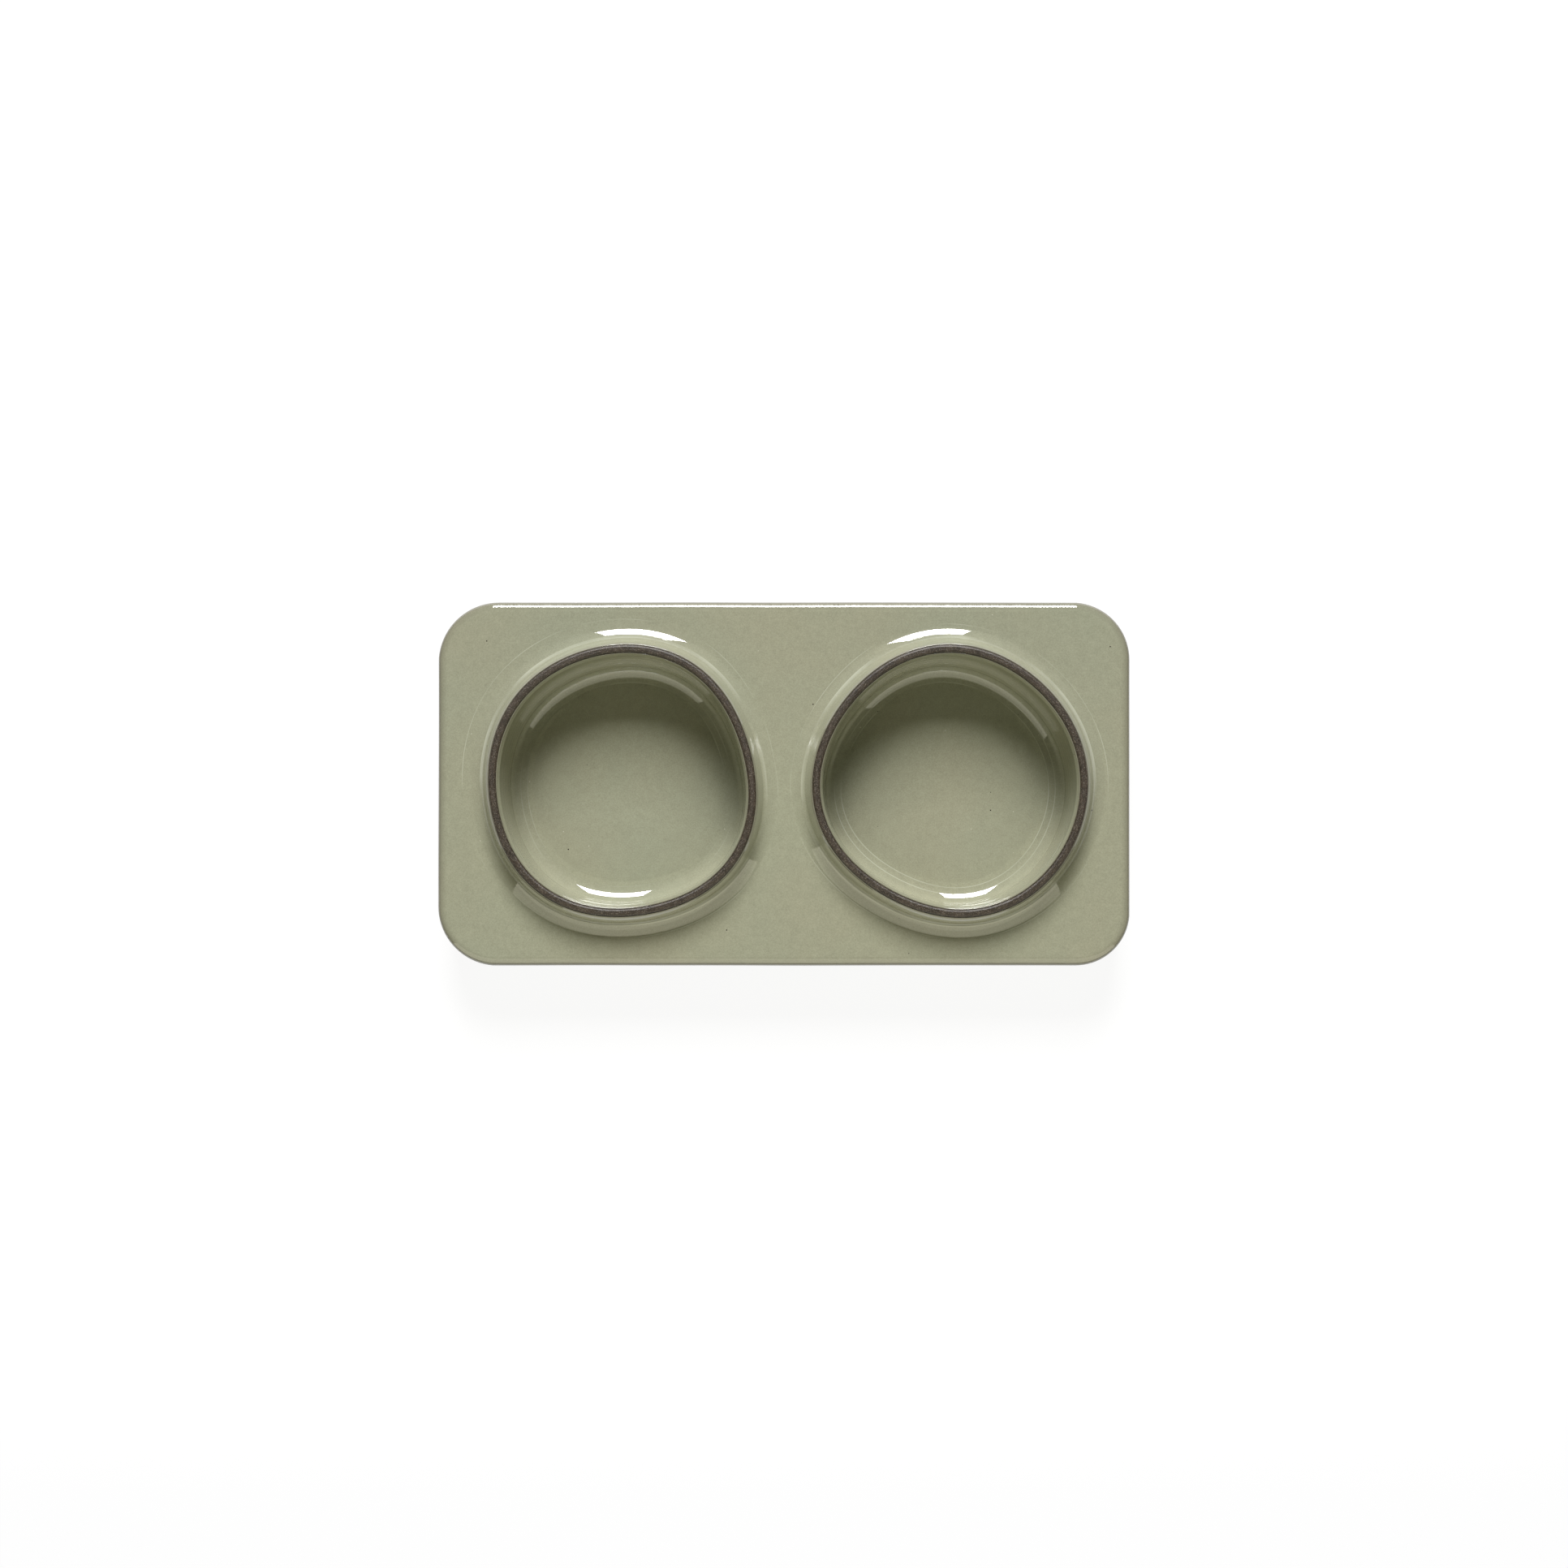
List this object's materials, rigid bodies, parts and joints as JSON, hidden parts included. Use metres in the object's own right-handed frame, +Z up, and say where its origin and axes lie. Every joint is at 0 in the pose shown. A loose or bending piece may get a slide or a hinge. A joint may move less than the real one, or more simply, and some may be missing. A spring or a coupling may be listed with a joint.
{
  "type": "olive dish",
  "caption": "Glazed stoneware olive dish: a rounded rectangular tray with two round sunken cups, one for olives and one for their stones, with bare clay rims.",
  "frame": {"origin": "under the middle of the tray, at the level of the table", "axes": "+X along the tray to the right of the picture, +Y to the top of the picture, +Z up out of the cups"},
  "size_m": [0.19, 0.1, 0.032],
  "materials": {
    "bare_clay": "bare fired clay, dark brown, matt and grainy",
    "glaze": "glossy sage green glaze with a fine mottle and a few pinholes"
  },
  "bodies": {
    "root": {"tray_slab": "bare_clay", "tray_skirt": "bare_clay", "left_cup_wall": "bare_clay", "left_cup_floor": "bare_clay", "left_collar_coil": "bare_clay", "left_floor_coil": "bare_clay", "right_cup_wall": "bare_clay", "right_cup_floor": "bare_clay", "right_collar_coil": "bare_clay", "right_floor_coil": "bare_clay", "tray_glaze": "glaze", "left_cup_glaze": "glaze", "right_cup_glaze": "glaze"}
  },
  "joints": []
}
